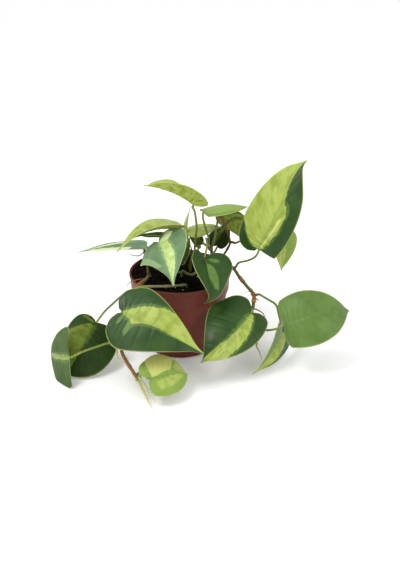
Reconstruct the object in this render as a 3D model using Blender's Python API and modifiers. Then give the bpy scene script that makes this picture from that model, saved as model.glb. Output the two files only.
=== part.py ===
"""Heart-leaf philodendron with lime variegation, trailing from a thin plastic nursery pot.

Frame: the origin is the centre of the pot's foot, +Z is up, -Y is the front and +X the right.
Lengths are metres. The planting plan is drawn in millimetres round a pot of the plan's size,
and every point of it moves with the pot when the pot's own sizes change.
"""
import math
from typing import NamedTuple

import bmesh
import bpy
from mathutils import Matrix, Vector

# Driving dimensions of the pot
POT_RIM_RADIUS = 0.060
POT_FOOT_RADIUS = 0.0435
POT_HEIGHT = 0.095
POT_WALL = 0.0012
POT_FLOOR = 0.0015
COLLAR_HEIGHT = 0.020
COLLAR_STEP = 0.0011
COLLAR_TAPER = 0.0008
LIP_DEPTH = 0.0022
LIP_REACH = 0.0009
FOOT_CHAMFER = 0.0012
DRAIN_HOLE_RADIUS = 0.004
DRAIN_RING_RADIUS = 0.030
DRAIN_HOLE_COUNT = 8
TURNING_STEPS = 48

# Driving dimensions of the soil and the plant
SOIL_BELOW_RIM = 0.0035
PLANTING_DEPTH = 0.012
VINE_RADIUS = 0.0019
STALK_RADIUS = 0.0014
BLADE_THICKNESS = 0.0007
SHOOT_TAPER = 0.75      # how much of its width a shoot has lost at its free end
TOUCH_GAP = 0.0003

# The pot that the planting plan is drawn round, in millimetres
PLAN_RIM_RADIUS = 60.0
PLAN_POT_HEIGHT = 95.0
MM = 0.001

# How finely the shapes are divided
HOLE_SIDES = 16
VINE_SIDES = 8
STALK_SIDES = 6
VINE_SPACING = 0.005
STALK_SPACING = 0.006
BLADE_ROWS = 9
BLADE_COLUMNS = 6

# Margin of one half of a blade, from the notch at its stalk round the lobe to the tip:
# share of the way round, distance out from the midrib in half widths, distance along it in lengths
MARGIN = (
    (0.00, 0.07, -0.05),
    (0.08, 0.32, -0.10),
    (0.18, 0.66, -0.08),
    (0.28, 0.90, 0.03),
    (0.38, 1.00, 0.18),
    (0.50, 0.96, 0.35),
    (0.62, 0.80, 0.53),
    (0.73, 0.58, 0.68),
    (0.83, 0.34, 0.81),
    (0.91, 0.14, 0.90),
    (0.96, 0.06, 0.95),
    (1.00, 0.015, 1.00),
)
# Where the side vein that ends at each of those shares leaves the midrib, in lengths
VEIN_FOOT = (
    (0.00, 0.000), (0.18, 0.015), (0.28, 0.05), (0.38, 0.11), (0.50, 0.21),
    (0.62, 0.35), (0.73, 0.50), (0.83, 0.66), (0.91, 0.80), (1.00, 1.00),
)
VEIN_CURVE = 1.4
# Brings the height of the curve y^4 (1 - y) to 1
HOOK_PEAK = 12.2


class Leaf(NamedTuple):
    """One leaf of the planting plan, in millimetres and degrees."""
    vine: str            # the vine that its stalk grows from
    stalk: tuple         # points that the stalk passes, from the vine towards the blade
    base: tuple          # where the stalk joins the blade
    tip: tuple
    width: float
    face: tuple          # roughly where the upper side looks
    arch: float = 0.06   # how far the midrib bows up, as a share of the length
    fold: float = 8.0    # how far each half lifts from the midrib
    camber: float = 20.0  # how far the margin bends back down
    sweep: float = 0.0   # how far the midrib bows sideways, as a share of the length
    hook: float = 0.0    # how far it bows sideways close to the tip, as a share of the length
    # Each half: its width, its lobe, its fullness towards the tip, and how far it lifts more
    left: tuple = (1.0, 1.0, 0.0, 0.0)
    right: tuple = (1.0, 1.0, 0.0, 0.0)


# Vines: the first point is where the vine is planted, the rest are above the soil
VINES = {
    "vine_front_left": (
        (-35, -10, 92), (-36, -12, 95), (-38, -24, 96), (-41, -38, 98.5), (-46, -50, 99),
        (-51, -58, 95), (-56, -67, 86), (-59, -75, 73), (-62, -85, 58), (-62, -95, 45),
        (-57, -102, 36), (-50, -109, 28), (-44, -116, 22),
    ),
    "vine_over_soil": (
        (8, -36, 92), (6, -38, 95), (-8, -41, 95), (-22, -45, 96.5), (-33, -50, 99),
        (-43, -56, 101), (-50, -63, 98), (-54, -68, 92),
    ),
    "vine_right": (
        (42, 10, 92), (45, 10, 98), (54, 6, 100), (63, 1, 98), (71, -8, 89.5),
        (79, -17, 82.5), (86, -24, 76), (86, -31, 65), (82, -38, 50), (82, -43, 36), (87, -47, 24),
    ),
    "vine_centre_left": ((12, 8, 92), (12, 8, 98), (14, 7, 108), (15, 6, 118)),
    "vine_centre_right": ((36, 22, 92), (36, 22, 98), (38, 20, 108), (37, 17, 118)),
    "vine_back_left": ((-30, 14, 92), (-31, 14, 98), (-37, 16, 105), (-44, 20, 110)),
    "vine_loop": (
        (2, -8, 92), (3, -8, 97), (6, -11, 103), (10, -15, 101), (15, -17, 98), (20, -13, 101),
        (23, -6, 105),
    ),
    "vine_back_right": (
        (46, 18, 92), (47, 18, 98), (52, 20, 106), (57, 24, 113), (60, 27, 120), (57, 29, 132),
        (52, 30, 145), (49, 30, 154),
    ),
}

LEAVES = {
    "leaf_crown_left": Leaf(
        "vine_centre_left", ((18, 2, 130), (20, -3, 150), (18, -10, 172)),
        (17, -15, 182), (-36, -30, 209), 56, (0.5, 0.35, 0.9), arch=0.07, fold=35, camber=15,
        left=(1.0, 1.3, 0.0, 0.0)),
    "leaf_upper_left": Leaf(
        "vine_centre_left", ((8, 6, 125), (0, 2, 142)),
        (-4, -5, 150), (-68, -35, 135), 54, (-0.1, 0.2, 1), arch=0.12, fold=25, camber=20,
        right=(1.15, 1.3, -0.18, 0.0)),
    "leaf_far_left_upper": Leaf(
        "vine_back_left", ((-45, 26, 112),),
        (-43, 30, 115), (-121, 10, 114), 46, (0, 0.1, 1), arch=0.03, fold=8, camber=15,
        right=(0.9, 0.5, -0.12, 0.0), left=(0.8, 0.3, 0.0, 0.0)),
    "leaf_under_left": Leaf(
        "vine_back_left", ((-30, 12, 118), (-22, 8, 130)),
        (-17, 4, 138), (-50, -6, 140), 36, (0, 0.5, 0.8), arch=0.06, fold=10, camber=20),
    "leaf_centre_drooping": Leaf(
        "vine_front_left", ((-37, -14, 105), (-36, -18, 120), (-29, -20, 138)),
        (-22, -30, 144), (-5, -70, 110), 66, (-0.5, -0.55, 0.6), arch=0.12, fold=0, camber=40,
        sweep=-0.1, left=(0.98, 1.0, -0.15, 0.0), right=(1.04, 1.0, -0.28, 18.0)),
    "leaf_centre_narrow": Leaf(
        "vine_loop", ((0, -22, 103), (-2, -28, 112)),
        (2, -25, 118), (12, -14, 144), 26, (0.7, 0.6, 0.2), arch=0.05, fold=10, camber=20,
        left=(0.55, 1.0, 0.0, 0.0)),
    "leaf_rim_front": Leaf(
        "vine_centre_right", ((31, 4, 134), (32, -8, 134), (31, -20, 130)),
        (29, -30, 124), (28, -72, 89), 50, (0.5, -0.55, 0.66), arch=0.06, fold=28, camber=20,
        sweep=-0.05, hook=-0.12, left=(1.22, 0.8, -0.08, 0.0), right=(0.95, 1.5, -0.08, 0.0)),
    "leaf_front_left": Leaf(
        "vine_over_soil", ((-59, -77, 83),),
        (-60, -86, 86), (28, -111, 49), 69, (0.25, -0.75, 0.6), arch=0.1, fold=4, camber=18,
        left=(1.08, 1.0, -0.13, 0.0), right=(1.1, 0.8, -0.14, 0.0)),
    "leaf_floor_small": Leaf(
        "vine_front_left", ((-42, -114, 27), (-37, -120, 28)),
        (-29, -125, 28), (10, -105, 19), 47, (0.1, -0.5, 0.85), arch=0.16, fold=4, camber=25,
        left=(1.15, 1.8, 0.05, 0.0), right=(1.0, 0.5, 0.15, 0.0)),
    "leaf_left_back": Leaf(
        "vine_front_left", ((-61, -58, 93), (-75, -50, 77), (-87, -40, 61)),
        (-96, -50, 52), (-127, -87, 5), 64, (0.2, -0.75, 0.6), arch=0.12, fold=5, camber=25,
        left=(1.15, 0.5, 0.22, 0.0), right=(0.8, 0.7, 0.0, 0.0)),
    "leaf_left_tip": Leaf(
        "vine_front_left", ((-76, -90, 50), (-90, -92, 46), (-104, -93, 41)),
        (-118, -95, 35), (-148, -60, 19), 74, (-0.855, -0.405, 0.2), arch=0.1, fold=5, camber=25,
        left=(1.05, 0.0, 0.1, 0.0), right=(0.93, 0.0, -0.28, 15.0)),
    "leaf_front_right": Leaf(
        "vine_right", ((84, -45, 67), (83, -51, 68)),
        (81, -55, 67), (25, -95, 27), 66, (-0.1, -0.6, 0.75), arch=0.1, fold=10, camber=30,
        sweep=-0.06, left=(0.8, 0.6, 0.03, 0.0), right=(1.32, 1.9, 0.0, 0.0)),
    "leaf_right": Leaf(
        "vine_right", ((95, -56, 46), (108, -67, 54)),
        (118, -70, 63), (194, -46, 66), 66, (-0.1, -0.75, 0.65), arch=0.2, fold=3, camber=25,
        left=(0.97, 0.35, 0.06, 0.0), right=(1.0, 0.35, 0.1, 0.0)),
    "leaf_right_hanging": Leaf(
        "vine_right", ((93, -27, 77), (103, -31, 72.5), (112, -34, 67), (116, -33, 54)),
        (121, -38, 44), (83, -84, 5), 46, (0.75, -0.6, -0.05), arch=0.1, fold=15, camber=20,
        left=(1.42, 0.8, -0.2, 0.0), right=(1.0, 1.0, 0.0, 0.0)),
    "leaf_top_right": Leaf(
        "vine_right", ((70, -1, 106), (80, -8, 112), (88, -14, 120)),
        (90, -20, 132), (140, -5, 229), 68, (-0.6, -0.75, 0.42), arch=0.06, fold=18, camber=30,
        sweep=0.03, hook=-0.045, left=(1.05, 0.8, 0.08, 0.0), right=(0.76, 0.0, 0.1, -24.0)),
    "leaf_behind_top_right": Leaf(
        "vine_back_right", ((68, 24, 121), (90, 22, 134), (110, 20, 142)),
        (120, 15, 138), (120, 0, 94), 38, (0.2, -0.9, 0.3), arch=0.08, fold=10, camber=25,
        left=(1.0, 1.0, -0.08, 0.0), right=(0.65, 1.0, -0.05, 0.0)),
    "leaf_crown_back": Leaf(
        "vine_centre_right", ((34, 14, 130), (29, 16, 148), (27, 19, 156)),
        (27, 20, 164), (83, 30, 163), 46, (0, 0.3, 0.95), arch=0.08, fold=5, camber=25,
        right=(1.3, 0.3, 0.1, -12.0), left=(1.0, 0.3, 0.0, 0.0)),
    "leaf_crown_under": Leaf(
        "vine_centre_right", ((42, 26, 130), (46, 34, 148)),
        (56, 36, 155), (79, 34, 118), 46, (0.5, 0.8, 0.4), arch=0.1, fold=5, camber=25),
    "leaf_centre_pale": Leaf(
        "vine_centre_right", ((30, 27, 117), (20, 34, 123)),
        (12, 36, 131), (50, 40, 134), 34, (0, -0.1, 1), arch=0.05, fold=5, camber=25),
    "leaf_centre_low": Leaf(
        "vine_centre_left", ((19, 22, 106), (22, 33, 110)),
        (24, 36, 113), (6, 50, 126), 30, (0.2, 0.9, 0.3), arch=0.05, fold=5, camber=20,
        right=(0.5, 1.0, 0.0, 0.0)),
    "leaf_centre_striped": Leaf(
        "vine_centre_right", ((42, 32, 106),),
        (45, 38, 112), (60, 60, 132), 34, (-0.3, -0.7, 0.6), arch=0.05, fold=5, camber=20,
        right=(0.7, 1.0, 0.0, 0.0)),
}

# Tapered shoots, sheaths and roots: vine, points from the vine to the free end, width at the root
SHOOTS = {
    "shoot_rolled_leaf": ("vine_centre_left", ((13, 24, 115), (6, 35, 134), (12, 40, 160)), 6.0),
    "shoot_back_left": ("vine_back_left", ((-50, 14, 108), (-58, 10, 111), (-67, 9, 117)), 2.4),
    "shoot_trailing": ("vine_front_left", ((-41, -119, 18), (-37, -125, 12), (-28, -141, 2.5)), 3.6),
    "sheath_trailing": ("vine_front_left", ((-39, -118, 21), (-33, -123, 14), (-24, -136, 5)), 2.6),
    "sheath_front_left": ("vine_front_left", ((-67, -92, 45), (-67, -94, 35), (-62, -99, 24)), 3.0),
    "sheath_right_front": ("vine_right", ((90, -49, 20), (94, -52, 13), (97, -54, 2.5)), 3.0),
    "root_right": ("vine_right", ((90, -34, 61), (97, -36, 57), (101, -36, 48)), 1.6),
}


def empty_scene():
    for thing in list(bpy.data.objects):
        bpy.data.objects.remove(thing, do_unlink=True)


def make_collection(name):
    collection = bpy.data.collections.new(name)
    bpy.context.scene.collection.children.link(collection)
    return collection


def make_material(name, colour, roughness):
    material = bpy.data.materials.new(name)
    material.use_nodes = True
    shader = material.node_tree.nodes["Principled BSDF"]
    shader.inputs["Base Color"].default_value = (*colour, 1.0)
    shader.inputs["Roughness"].default_value = roughness
    shader.inputs["Metallic"].default_value = 0.0
    material.diffuse_color = (*colour, 1.0)
    return material


def pot_outer_radius(height):
    """Outer radius of the pot's wall at a height, without its lip."""
    collar_foot = POT_HEIGHT - COLLAR_HEIGHT
    if height >= collar_foot:
        return POT_RIM_RADIUS - LIP_REACH - COLLAR_TAPER * (POT_HEIGHT - height) / COLLAR_HEIGHT
    wall_top = POT_RIM_RADIUS - LIP_REACH - COLLAR_TAPER - COLLAR_STEP
    share = max(height, 0.0) / collar_foot
    return POT_FOOT_RADIUS + (wall_top - POT_FOOT_RADIUS) * share


def soil_top():
    return POT_HEIGHT - SOIL_BELOW_RIM


def fit_to_pot(point_mm):
    """A point of the planting plan, in metres, moved along with the pot's rim."""
    x, y, z = (value * MM for value in point_mm)
    plan_radius = PLAN_RIM_RADIUS * MM
    plan_height = PLAN_POT_HEIGHT * MM
    reach = math.hypot(x, y)
    if reach < plan_radius:
        spread = POT_RIM_RADIUS / plan_radius
    else:
        spread = (reach + POT_RIM_RADIUS - plan_radius) / reach
    if z > plan_height:
        z += POT_HEIGHT - plan_height
    else:
        z *= POT_HEIGHT / plan_height
    return Vector((x * spread, y * spread, z))


def lay_on_pot(point, radius):
    """Lift a tube's centre off the soil and the rim, keep it outside the wall and off the ground."""
    clearance = radius + TOUCH_GAP
    reach = math.hypot(point.x, point.y)
    rim_inside = POT_RIM_RADIUS - LIP_REACH - POT_WALL
    if reach < rim_inside - clearance:
        point.z = max(point.z, soil_top() + clearance)
    elif reach < POT_RIM_RADIUS:
        point.z = max(point.z, POT_HEIGHT + clearance)
    elif point.z < POT_HEIGHT + clearance:
        wanted = max(POT_RIM_RADIUS, pot_outer_radius(point.z)) + clearance
        if reach < wanted:
            point.x *= wanted / reach
            point.y *= wanted / reach
    point.z = max(point.z, clearance)
    return point


def smooth_route(points, spacing):
    """Points at an even spacing along a Catmull-Rom curve through the given ones."""
    chain = [points[0] * 2 - points[1], *points, points[-1] * 2 - points[-2]]
    fine = []
    for index in range(1, len(chain) - 2):
        before, start, end, after = chain[index - 1:index + 3]
        steps = max(2, math.ceil((end - start).length / spacing * 4))
        for step in range(steps):
            t = step / steps
            fine.append(0.5 * (
                2 * start + (end - before) * t
                + (2 * before - 5 * start + 4 * end - after) * t * t
                + (3 * start - before - 3 * end + after) * t * t * t))
    fine.append(points[-1])
    travelled = [0.0]
    for first, second in zip(fine, fine[1:]):
        travelled.append(travelled[-1] + (second - first).length)
    count = max(2, round(travelled[-1] / spacing))
    route = []
    index = 0
    for step in range(count + 1):
        wanted = travelled[-1] * step / count
        while index < len(fine) - 2 and travelled[index + 1] < wanted:
            index += 1
        span = travelled[index + 1] - travelled[index]
        share = (wanted - travelled[index]) / span if span else 0.0
        route.append(fine[index].lerp(fine[index + 1], share))
    return route


def make_tube(name, route, radius, sides, material, collection, taper=None):
    """A round tube with closed ends along a route, its object placed at the route's start."""
    curve = bpy.data.curves.new(name, "CURVE")
    curve.dimensions = "3D"
    curve.bevel_depth = radius
    curve.bevel_resolution = (sides - 4) // 2
    curve.use_fill_caps = True
    spline = curve.splines.new("POLY")
    spline.points.add(len(route) - 1)
    for index, (slot, point) in enumerate(zip(spline.points, route)):
        slot.co = (*(point - route[0]), 1.0)
        slot.radius = taper(index / (len(route) - 1)) if taper else 1.0
    curve.materials.append(material)
    tube = bpy.data.objects.new(name, curve)
    tube.location = route[0]
    collection.objects.link(tube)
    return tube


def make_pot(collection, cutters):
    """A thin-walled turned pot with a collar, a lip and a ring of drain holes in its floor."""
    collar_foot = POT_HEIGHT - COLLAR_HEIGHT
    wall_top = pot_outer_radius(collar_foot) - COLLAR_STEP
    rim_inside = POT_RIM_RADIUS - LIP_REACH - POT_WALL
    outline = (
        (rim_inside, POT_HEIGHT),
        (POT_RIM_RADIUS, POT_HEIGHT),
        (POT_RIM_RADIUS, POT_HEIGHT - LIP_DEPTH),
        (pot_outer_radius(POT_HEIGHT - LIP_DEPTH), POT_HEIGHT - LIP_DEPTH - LIP_REACH),
        (pot_outer_radius(collar_foot), collar_foot),
        (wall_top, collar_foot - COLLAR_STEP),
        (POT_FOOT_RADIUS, FOOT_CHAMFER),
        (POT_FOOT_RADIUS - FOOT_CHAMFER, 0.0),
        (0.0, 0.0),
    )
    lining = (
        (0.0, POT_FLOOR),
        (POT_FOOT_RADIUS - FOOT_CHAMFER - POT_WALL, POT_FLOOR),
        (wall_top - POT_WALL, collar_foot - COLLAR_STEP),
        (pot_outer_radius(collar_foot) - POT_WALL, collar_foot),
    )
    mesh = bpy.data.meshes.new("pot")
    profile = bmesh.new()
    corners = [profile.verts.new((radius, 0.0, height)) for radius, height in outline + lining]
    for first, second in zip(corners, corners[1:] + corners[:1]):
        if first.co.x > 0.0 or second.co.x > 0.0:
            profile.edges.new((first, second))
    profile.to_mesh(mesh)
    profile.free()
    mesh.materials.append(make_material("pot_plastic", (0.20, 0.045, 0.033), 0.45))
    pot = bpy.data.objects.new("pot", mesh)
    collection.objects.link(pot)
    turning = pot.modifiers.new("turning", "SCREW")
    turning.steps = TURNING_STEPS
    turning.render_steps = TURNING_STEPS
    turning.use_merge_vertices = True
    turning.merge_threshold = 0.00001
    turning.use_normal_calculate = False
    for index in range(DRAIN_HOLE_COUNT):
        angle = math.tau * index / DRAIN_HOLE_COUNT
        cut_round_hole(
            pot, f"drain_cutter_{index + 1}", DRAIN_HOLE_RADIUS,
            Vector((math.cos(angle), math.sin(angle), 0.0)) * DRAIN_RING_RADIUS,
            -POT_FLOOR, POT_FLOOR * 2, cutters)
    return pot


def cut_round_hole(target, name, radius, place, bottom, top, cutters):
    """Cut an upright round hole between two heights with a hidden cylinder."""
    mesh = bpy.data.meshes.new(name)
    shape = bmesh.new()
    bmesh.ops.create_cone(
        shape, cap_ends=True, segments=HOLE_SIDES, radius1=radius, radius2=radius, depth=top - bottom)
    shape.to_mesh(mesh)
    shape.free()
    cutter = bpy.data.objects.new(name, mesh)
    cutter.location = (place.x, place.y, (top + bottom) / 2)
    cutter.hide_render = True
    cutter.display_type = "WIRE"
    cutters.objects.link(cutter)
    cut = target.modifiers.new(name, "BOOLEAN")
    cut.operation = "DIFFERENCE"
    cut.solver = "EXACT"
    cut.object = cutter


def make_soil(collection, cutters):
    """The root ball: it fills the pot, less a gap, and has a hole for each planted vine."""
    collar_foot = POT_HEIGHT - COLLAR_HEIGHT
    wall_top = pot_outer_radius(collar_foot) - COLLAR_STEP
    wall_gap = POT_WALL + TOUCH_GAP
    bottom = POT_FLOOR + TOUCH_GAP
    outline = (
        (0.0, soil_top()),
        (POT_RIM_RADIUS - LIP_REACH - COLLAR_TAPER - wall_gap, soil_top()),
        (pot_outer_radius(collar_foot) - wall_gap, collar_foot),
        (wall_top - wall_gap, collar_foot - COLLAR_STEP),
        (POT_FOOT_RADIUS - FOOT_CHAMFER - wall_gap, bottom),
        (0.0, bottom),
    )
    mesh = bpy.data.meshes.new("soil")
    profile = bmesh.new()
    corners = [profile.verts.new((radius, 0.0, height)) for radius, height in outline]
    for first, second in zip(corners, corners[1:]):
        profile.edges.new((first, second))
    profile.to_mesh(mesh)
    profile.free()
    mesh.materials.append(make_material("soil_peat", (0.018, 0.012, 0.009), 0.95))
    soil = bpy.data.objects.new("soil", mesh)
    collection.objects.link(soil)
    turning = soil.modifiers.new("turning", "SCREW")
    turning.steps = TURNING_STEPS
    turning.render_steps = TURNING_STEPS
    turning.use_merge_vertices = True
    turning.merge_threshold = 0.00001
    for name, plan in VINES.items():
        cut_round_hole(
            soil, f"planting_cutter_{name}", VINE_RADIUS + TOUCH_GAP, fit_to_pot(plan[0]),
            soil_top() - PLANTING_DEPTH - TOUCH_GAP, soil_top() + TOUCH_GAP, cutters)
    return soil


def vine_route(name):
    """The vine's centre line: straight up out of its hole, then along the plan's points."""
    plan = [fit_to_pot(point) for point in VINES[name]]
    foot = Vector((plan[0].x, plan[0].y, soil_top() - PLANTING_DEPTH))
    mouth = Vector((plan[0].x, plan[0].y, soil_top() + VINE_RADIUS))
    above = smooth_route([mouth, *plan[1:]], VINE_SPACING)
    return [foot, mouth, *(lay_on_pot(point, VINE_RADIUS) for point in above[1:])]


def nearest_on_route(route, point):
    """The point of a route nearest to another point, and the route's direction there."""
    best = None
    for first, second in zip(route, route[1:]):
        along = second - first
        share = (point - first).dot(along) / along.length_squared
        near = first + along * min(1.0, max(0.0, share))
        distance = (point - near).length
        if best is None or distance < best[0]:
            best = (distance, near, along.normalized())
    return best[1], best[2]


def leave_vine(route, towards, radius):
    """Where a side piece starts on a vine's skin, and a second point straight out from there."""
    near, along = nearest_on_route(route, towards)
    outward = towards - near
    outward -= along * outward.dot(along)
    outward.normalize()
    start = near + outward * (VINE_RADIUS + TOUCH_GAP)
    return start, start + outward * radius * 2


def blade_frame(leaf):
    """The blade's placing: origin at its stalk, +Y to the tip, +Z out of its upper side."""
    base = fit_to_pot(leaf.base)
    tip = fit_to_pot(leaf.tip)
    forward = (tip - base).normalized()
    up = Vector(leaf.face)
    up = (up - forward * up.dot(forward)).normalized()
    side = forward.cross(up)
    turn = Matrix((side, forward, up)).transposed()
    return Matrix.Translation(base) @ turn.to_4x4(), (tip - base).length


def read_table(table, share, column):
    """A smooth value between the rows of a table whose first column rises."""
    index = 0
    while index < len(table) - 2 and table[index + 1][0] < share:
        index += 1
    lower, upper = table[index], table[index + 1]
    before = table[max(index - 1, 0)]
    after = table[min(index + 2, len(table) - 1)]
    span = upper[0] - lower[0]
    t = (share - lower[0]) / span
    slope_in = (upper[column] - before[column]) / (upper[0] - before[0]) * span
    slope_out = (after[column] - lower[column]) / (after[0] - lower[0]) * span
    return (
        (2 * t ** 3 - 3 * t ** 2 + 1) * lower[column] + (t ** 3 - 2 * t ** 2 + t) * slope_in
        + (3 * t ** 2 - 2 * t ** 3) * upper[column] + (t ** 3 - t ** 2) * slope_out)


def blade_point(leaf, length, share, across):
    """A point of the blade in its own frame: share runs round the margin, across is -1 to 1."""
    half, lobe, fullness, lift = leaf.right if across > 0 else leaf.left
    half_width = leaf.width * MM / 2 * half
    out = abs(across)
    foot = read_table(VEIN_FOOT, share, 1)
    edge = read_table(MARGIN, share, 2)
    edge = edge * lobe if edge < 0 else edge + fullness * math.sin(math.pi * min(1.0, edge))
    along = foot + (edge - foot) * out ** VEIN_CURVE
    reach = read_table(MARGIN, share, 1) * half_width * out
    bow = 4 * along * (1 - along) if along > 0 else 4 * along
    slope = 4 * (1 - 2 * max(along, 0.0))
    late = max(along, 0.0)
    sway = leaf.sweep * bow + leaf.hook * HOOK_PEAK * late ** 4 * (1 - late)
    turn = leaf.sweep * slope + leaf.hook * HOOK_PEAK * late ** 3 * (4 - 5 * late)
    midrib = Vector((sway, along, leaf.arch * bow)) * length
    heading = Vector((turn, 1.0, leaf.arch * slope)).normalized()
    lift = math.radians(leaf.fold + lift)
    bend = math.radians(leaf.camber) / half_width
    side = (math.sin(lift) - math.sin(lift - bend * reach)) / bend
    rise = (math.cos(lift - bend * reach) - math.cos(lift)) / bend
    right = heading.cross(Vector((0, 0, 1))).normalized()
    upward = right.cross(heading)
    return midrib + right * math.copysign(side, across) + upward * rise


def make_blade(name, leaf, material, collection):
    """A heart-shaped blade: an open grid laid along its veins, then given its thickness."""
    placing, length = blade_frame(leaf)
    inverse = placing.inverted()
    ground = BLADE_THICKNESS / 2 + TOUCH_GAP
    grid = bmesh.new()
    bmesh.ops.create_grid(
        grid, x_segments=BLADE_COLUMNS, y_segments=BLADE_ROWS, size=1.0)
    for vertex in grid.verts:
        share = (vertex.co.y + 1) / 2
        place = placing @ blade_point(leaf, length, share, vertex.co.x)
        place.z = max(place.z, ground)
        vertex.co = inverse @ place
    mesh = bpy.data.meshes.new(name)
    grid.to_mesh(mesh)
    grid.free()
    mesh.shade_smooth()
    mesh.materials.append(material)
    blade = bpy.data.objects.new(name, mesh)
    blade.matrix_world = placing
    collection.objects.link(blade)
    thickness = blade.modifiers.new("thickness", "SOLIDIFY")
    thickness.thickness = BLADE_THICKNESS
    thickness.offset = 0.0
    return blade


def stalk_route(leaf, route):
    """From the vine's skin to just under the blade, arriving square to it."""
    placing, length = blade_frame(leaf)
    base = placing.translation
    slope = Vector((leaf.sweep * 4, 1.0, leaf.arch * 4)).normalized()
    under = (placing.to_3x3() @ slope.cross(Vector((1, 0, 0)))).normalized()
    end = base + under * (BLADE_THICKNESS / 2 + TOUCH_GAP)
    before_end = end + under * STALK_RADIUS * 2
    passed = [fit_to_pot(point) for point in leaf.stalk]
    start, second = leave_vine(route, passed[0], STALK_RADIUS)
    middle = smooth_route([second, *passed, before_end], STALK_SPACING)
    return [start, *middle, end]


def shoot_route(points, route):
    passed = [fit_to_pot(point) for point in points]
    start, second = leave_vine(route, passed[0], STALK_RADIUS)
    return [start, *smooth_route([second, *passed], STALK_SPACING)]


def make_plant(collection):
    bark = make_material("vine_skin", (0.12, 0.16, 0.04), 0.5)
    stalk_skin = make_material("stalk_skin", (0.16, 0.24, 0.06), 0.45)
    blade_skin = make_material("blade_skin", (0.06, 0.17, 0.03), 0.35)
    sheath_skin = make_material("sheath_skin", (0.32, 0.20, 0.08), 0.6)
    routes = {name: vine_route(name) for name in VINES}
    for name, route in routes.items():
        make_tube(name, route, VINE_RADIUS, VINE_SIDES, bark, collection)
    for name, leaf in LEAVES.items():
        make_blade(name, leaf, blade_skin, collection)
        stalk = stalk_route(leaf, routes[leaf.vine])
        make_tube(
            name.replace("leaf", "stalk"), stalk, STALK_RADIUS, STALK_SIDES, stalk_skin,
            collection)
    for name, (vine, points, width) in SHOOTS.items():
        make_tube(
            name, shoot_route(points, routes[vine]), width * MM / 2, STALK_SIDES, sheath_skin,
            collection, taper=lambda share: 1.0 - SHOOT_TAPER * share ** 2)


def main():
    empty_scene()
    parts = make_collection("potted_philodendron")
    cutters = make_collection("cutters")
    make_pot(parts, cutters)
    make_soil(parts, cutters)
    make_plant(parts)
    bpy.context.view_layer.update()


main()
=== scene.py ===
"""Heart-leaf philodendron in its nursery pot: the looks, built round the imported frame.

+Z is up, -Y the front and +X the right, with the origin under the middle of the pot.
The planting plan is in millimetres, and everything that is built from it is in metres.
"""
import math
import random
from typing import NamedTuple

import bmesh
import bpy
from mathutils import Matrix, Vector, noise


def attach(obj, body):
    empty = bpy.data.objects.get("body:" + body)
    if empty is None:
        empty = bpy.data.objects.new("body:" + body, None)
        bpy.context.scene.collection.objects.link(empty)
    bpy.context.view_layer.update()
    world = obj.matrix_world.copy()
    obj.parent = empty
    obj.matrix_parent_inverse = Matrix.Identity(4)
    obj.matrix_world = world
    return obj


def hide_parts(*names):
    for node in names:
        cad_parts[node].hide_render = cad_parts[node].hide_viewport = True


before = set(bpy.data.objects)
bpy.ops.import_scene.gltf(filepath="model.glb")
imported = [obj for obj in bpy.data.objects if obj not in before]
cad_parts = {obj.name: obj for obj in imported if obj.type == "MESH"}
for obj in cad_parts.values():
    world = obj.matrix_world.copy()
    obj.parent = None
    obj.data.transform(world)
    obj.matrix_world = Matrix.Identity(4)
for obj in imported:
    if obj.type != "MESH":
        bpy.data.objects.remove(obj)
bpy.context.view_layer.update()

# Without a seed, noise_vector would differ from one run to the next
noise.seed_set(1)

MM = 0.001

# Pot and soil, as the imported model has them
RIM_RADIUS = 0.060
FOOT_RADIUS = 0.0435
POT_HEIGHT = 0.095
POT_WALL = 0.0012
POT_FLOOR = 0.0015
COLLAR_HEIGHT = 0.020
COLLAR_STEP = 0.0011
COLLAR_TAPER = 0.0008
LIP_DEPTH = 0.0022
LIP_REACH = 0.0009
FOOT_CHAMFER = 0.0012
HOLE_RADIUS = 0.004
HOLE_RING_RADIUS = 0.030
HOLE_COUNT = 8
SOIL_TOP = POT_HEIGHT - 0.0035
PLANTING_DEPTH = 0.012

# Plant
VINE_RADIUS = 0.0019
STALK_RADIUS = 0.0014
BLADE_THICKNESS = 0.0005
# How far a blade stays off the ground, and a tube off what it lies against
GROUND_GAP = 0.0006
TOUCH_GAP = 0.0003
VINE_SPACING = 0.0015
STALK_SPACING = 0.0015
NODE_SPACING = 0.038
NODE_SWELLING = 0.22
NODE_REACH = 0.0022
BLUNT_END = 0.12
# A dried sheath's radius in radii of its vine, and how far its surface is torn about
SHEATH_FIT = 1.12
SHEATH_TEAR = 0.0009
BLADE_ROWS = 104
BLADE_COLUMNS = 48
POT_STEPS = 144
POT_EDGE_ROUNDING = 0.0004
SOIL_STEPS = 160
SOIL_RINGS = 44
SOIL_RELIEF = 0.0016

# Where the side veins end round the margin, and how wide the lines on a blade are, as shares
SIDE_VEINS = (0.10, 0.19, 0.28, 0.37, 0.46, 0.55, 0.645, 0.74, 0.83)
SIDE_VEIN_WIDTH = 0.013
MIDRIB_WIDTH = 0.045
MARGIN_START = 0.975
# How far the tissue stands proud of its veins, and how far a margin waves in widths of the blade
PUCKER = 0.0006
WAVE = 0.03

PLANT_MIDDLE = Vector((0.02, -0.04, 0.09))
FLOOR_REACH = 40.0

# Dried sheaths: vine, the two ends of the stretch they wrap, how far their torn ends stand off
DRY_SHEATHS = {
    "dried_sheath_upper": ("vine_right", (71, -8, 89.5), (75, -12, 86.5), 0.3),
    "dried_sheath_node": ("vine_right", (85, -23, 77), (86, -29, 68), 0.55),
    "dried_sheath_rim": ("vine_front_left", (-42, -39, 98.5), (-50, -57, 96), 0.35),
}
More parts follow.
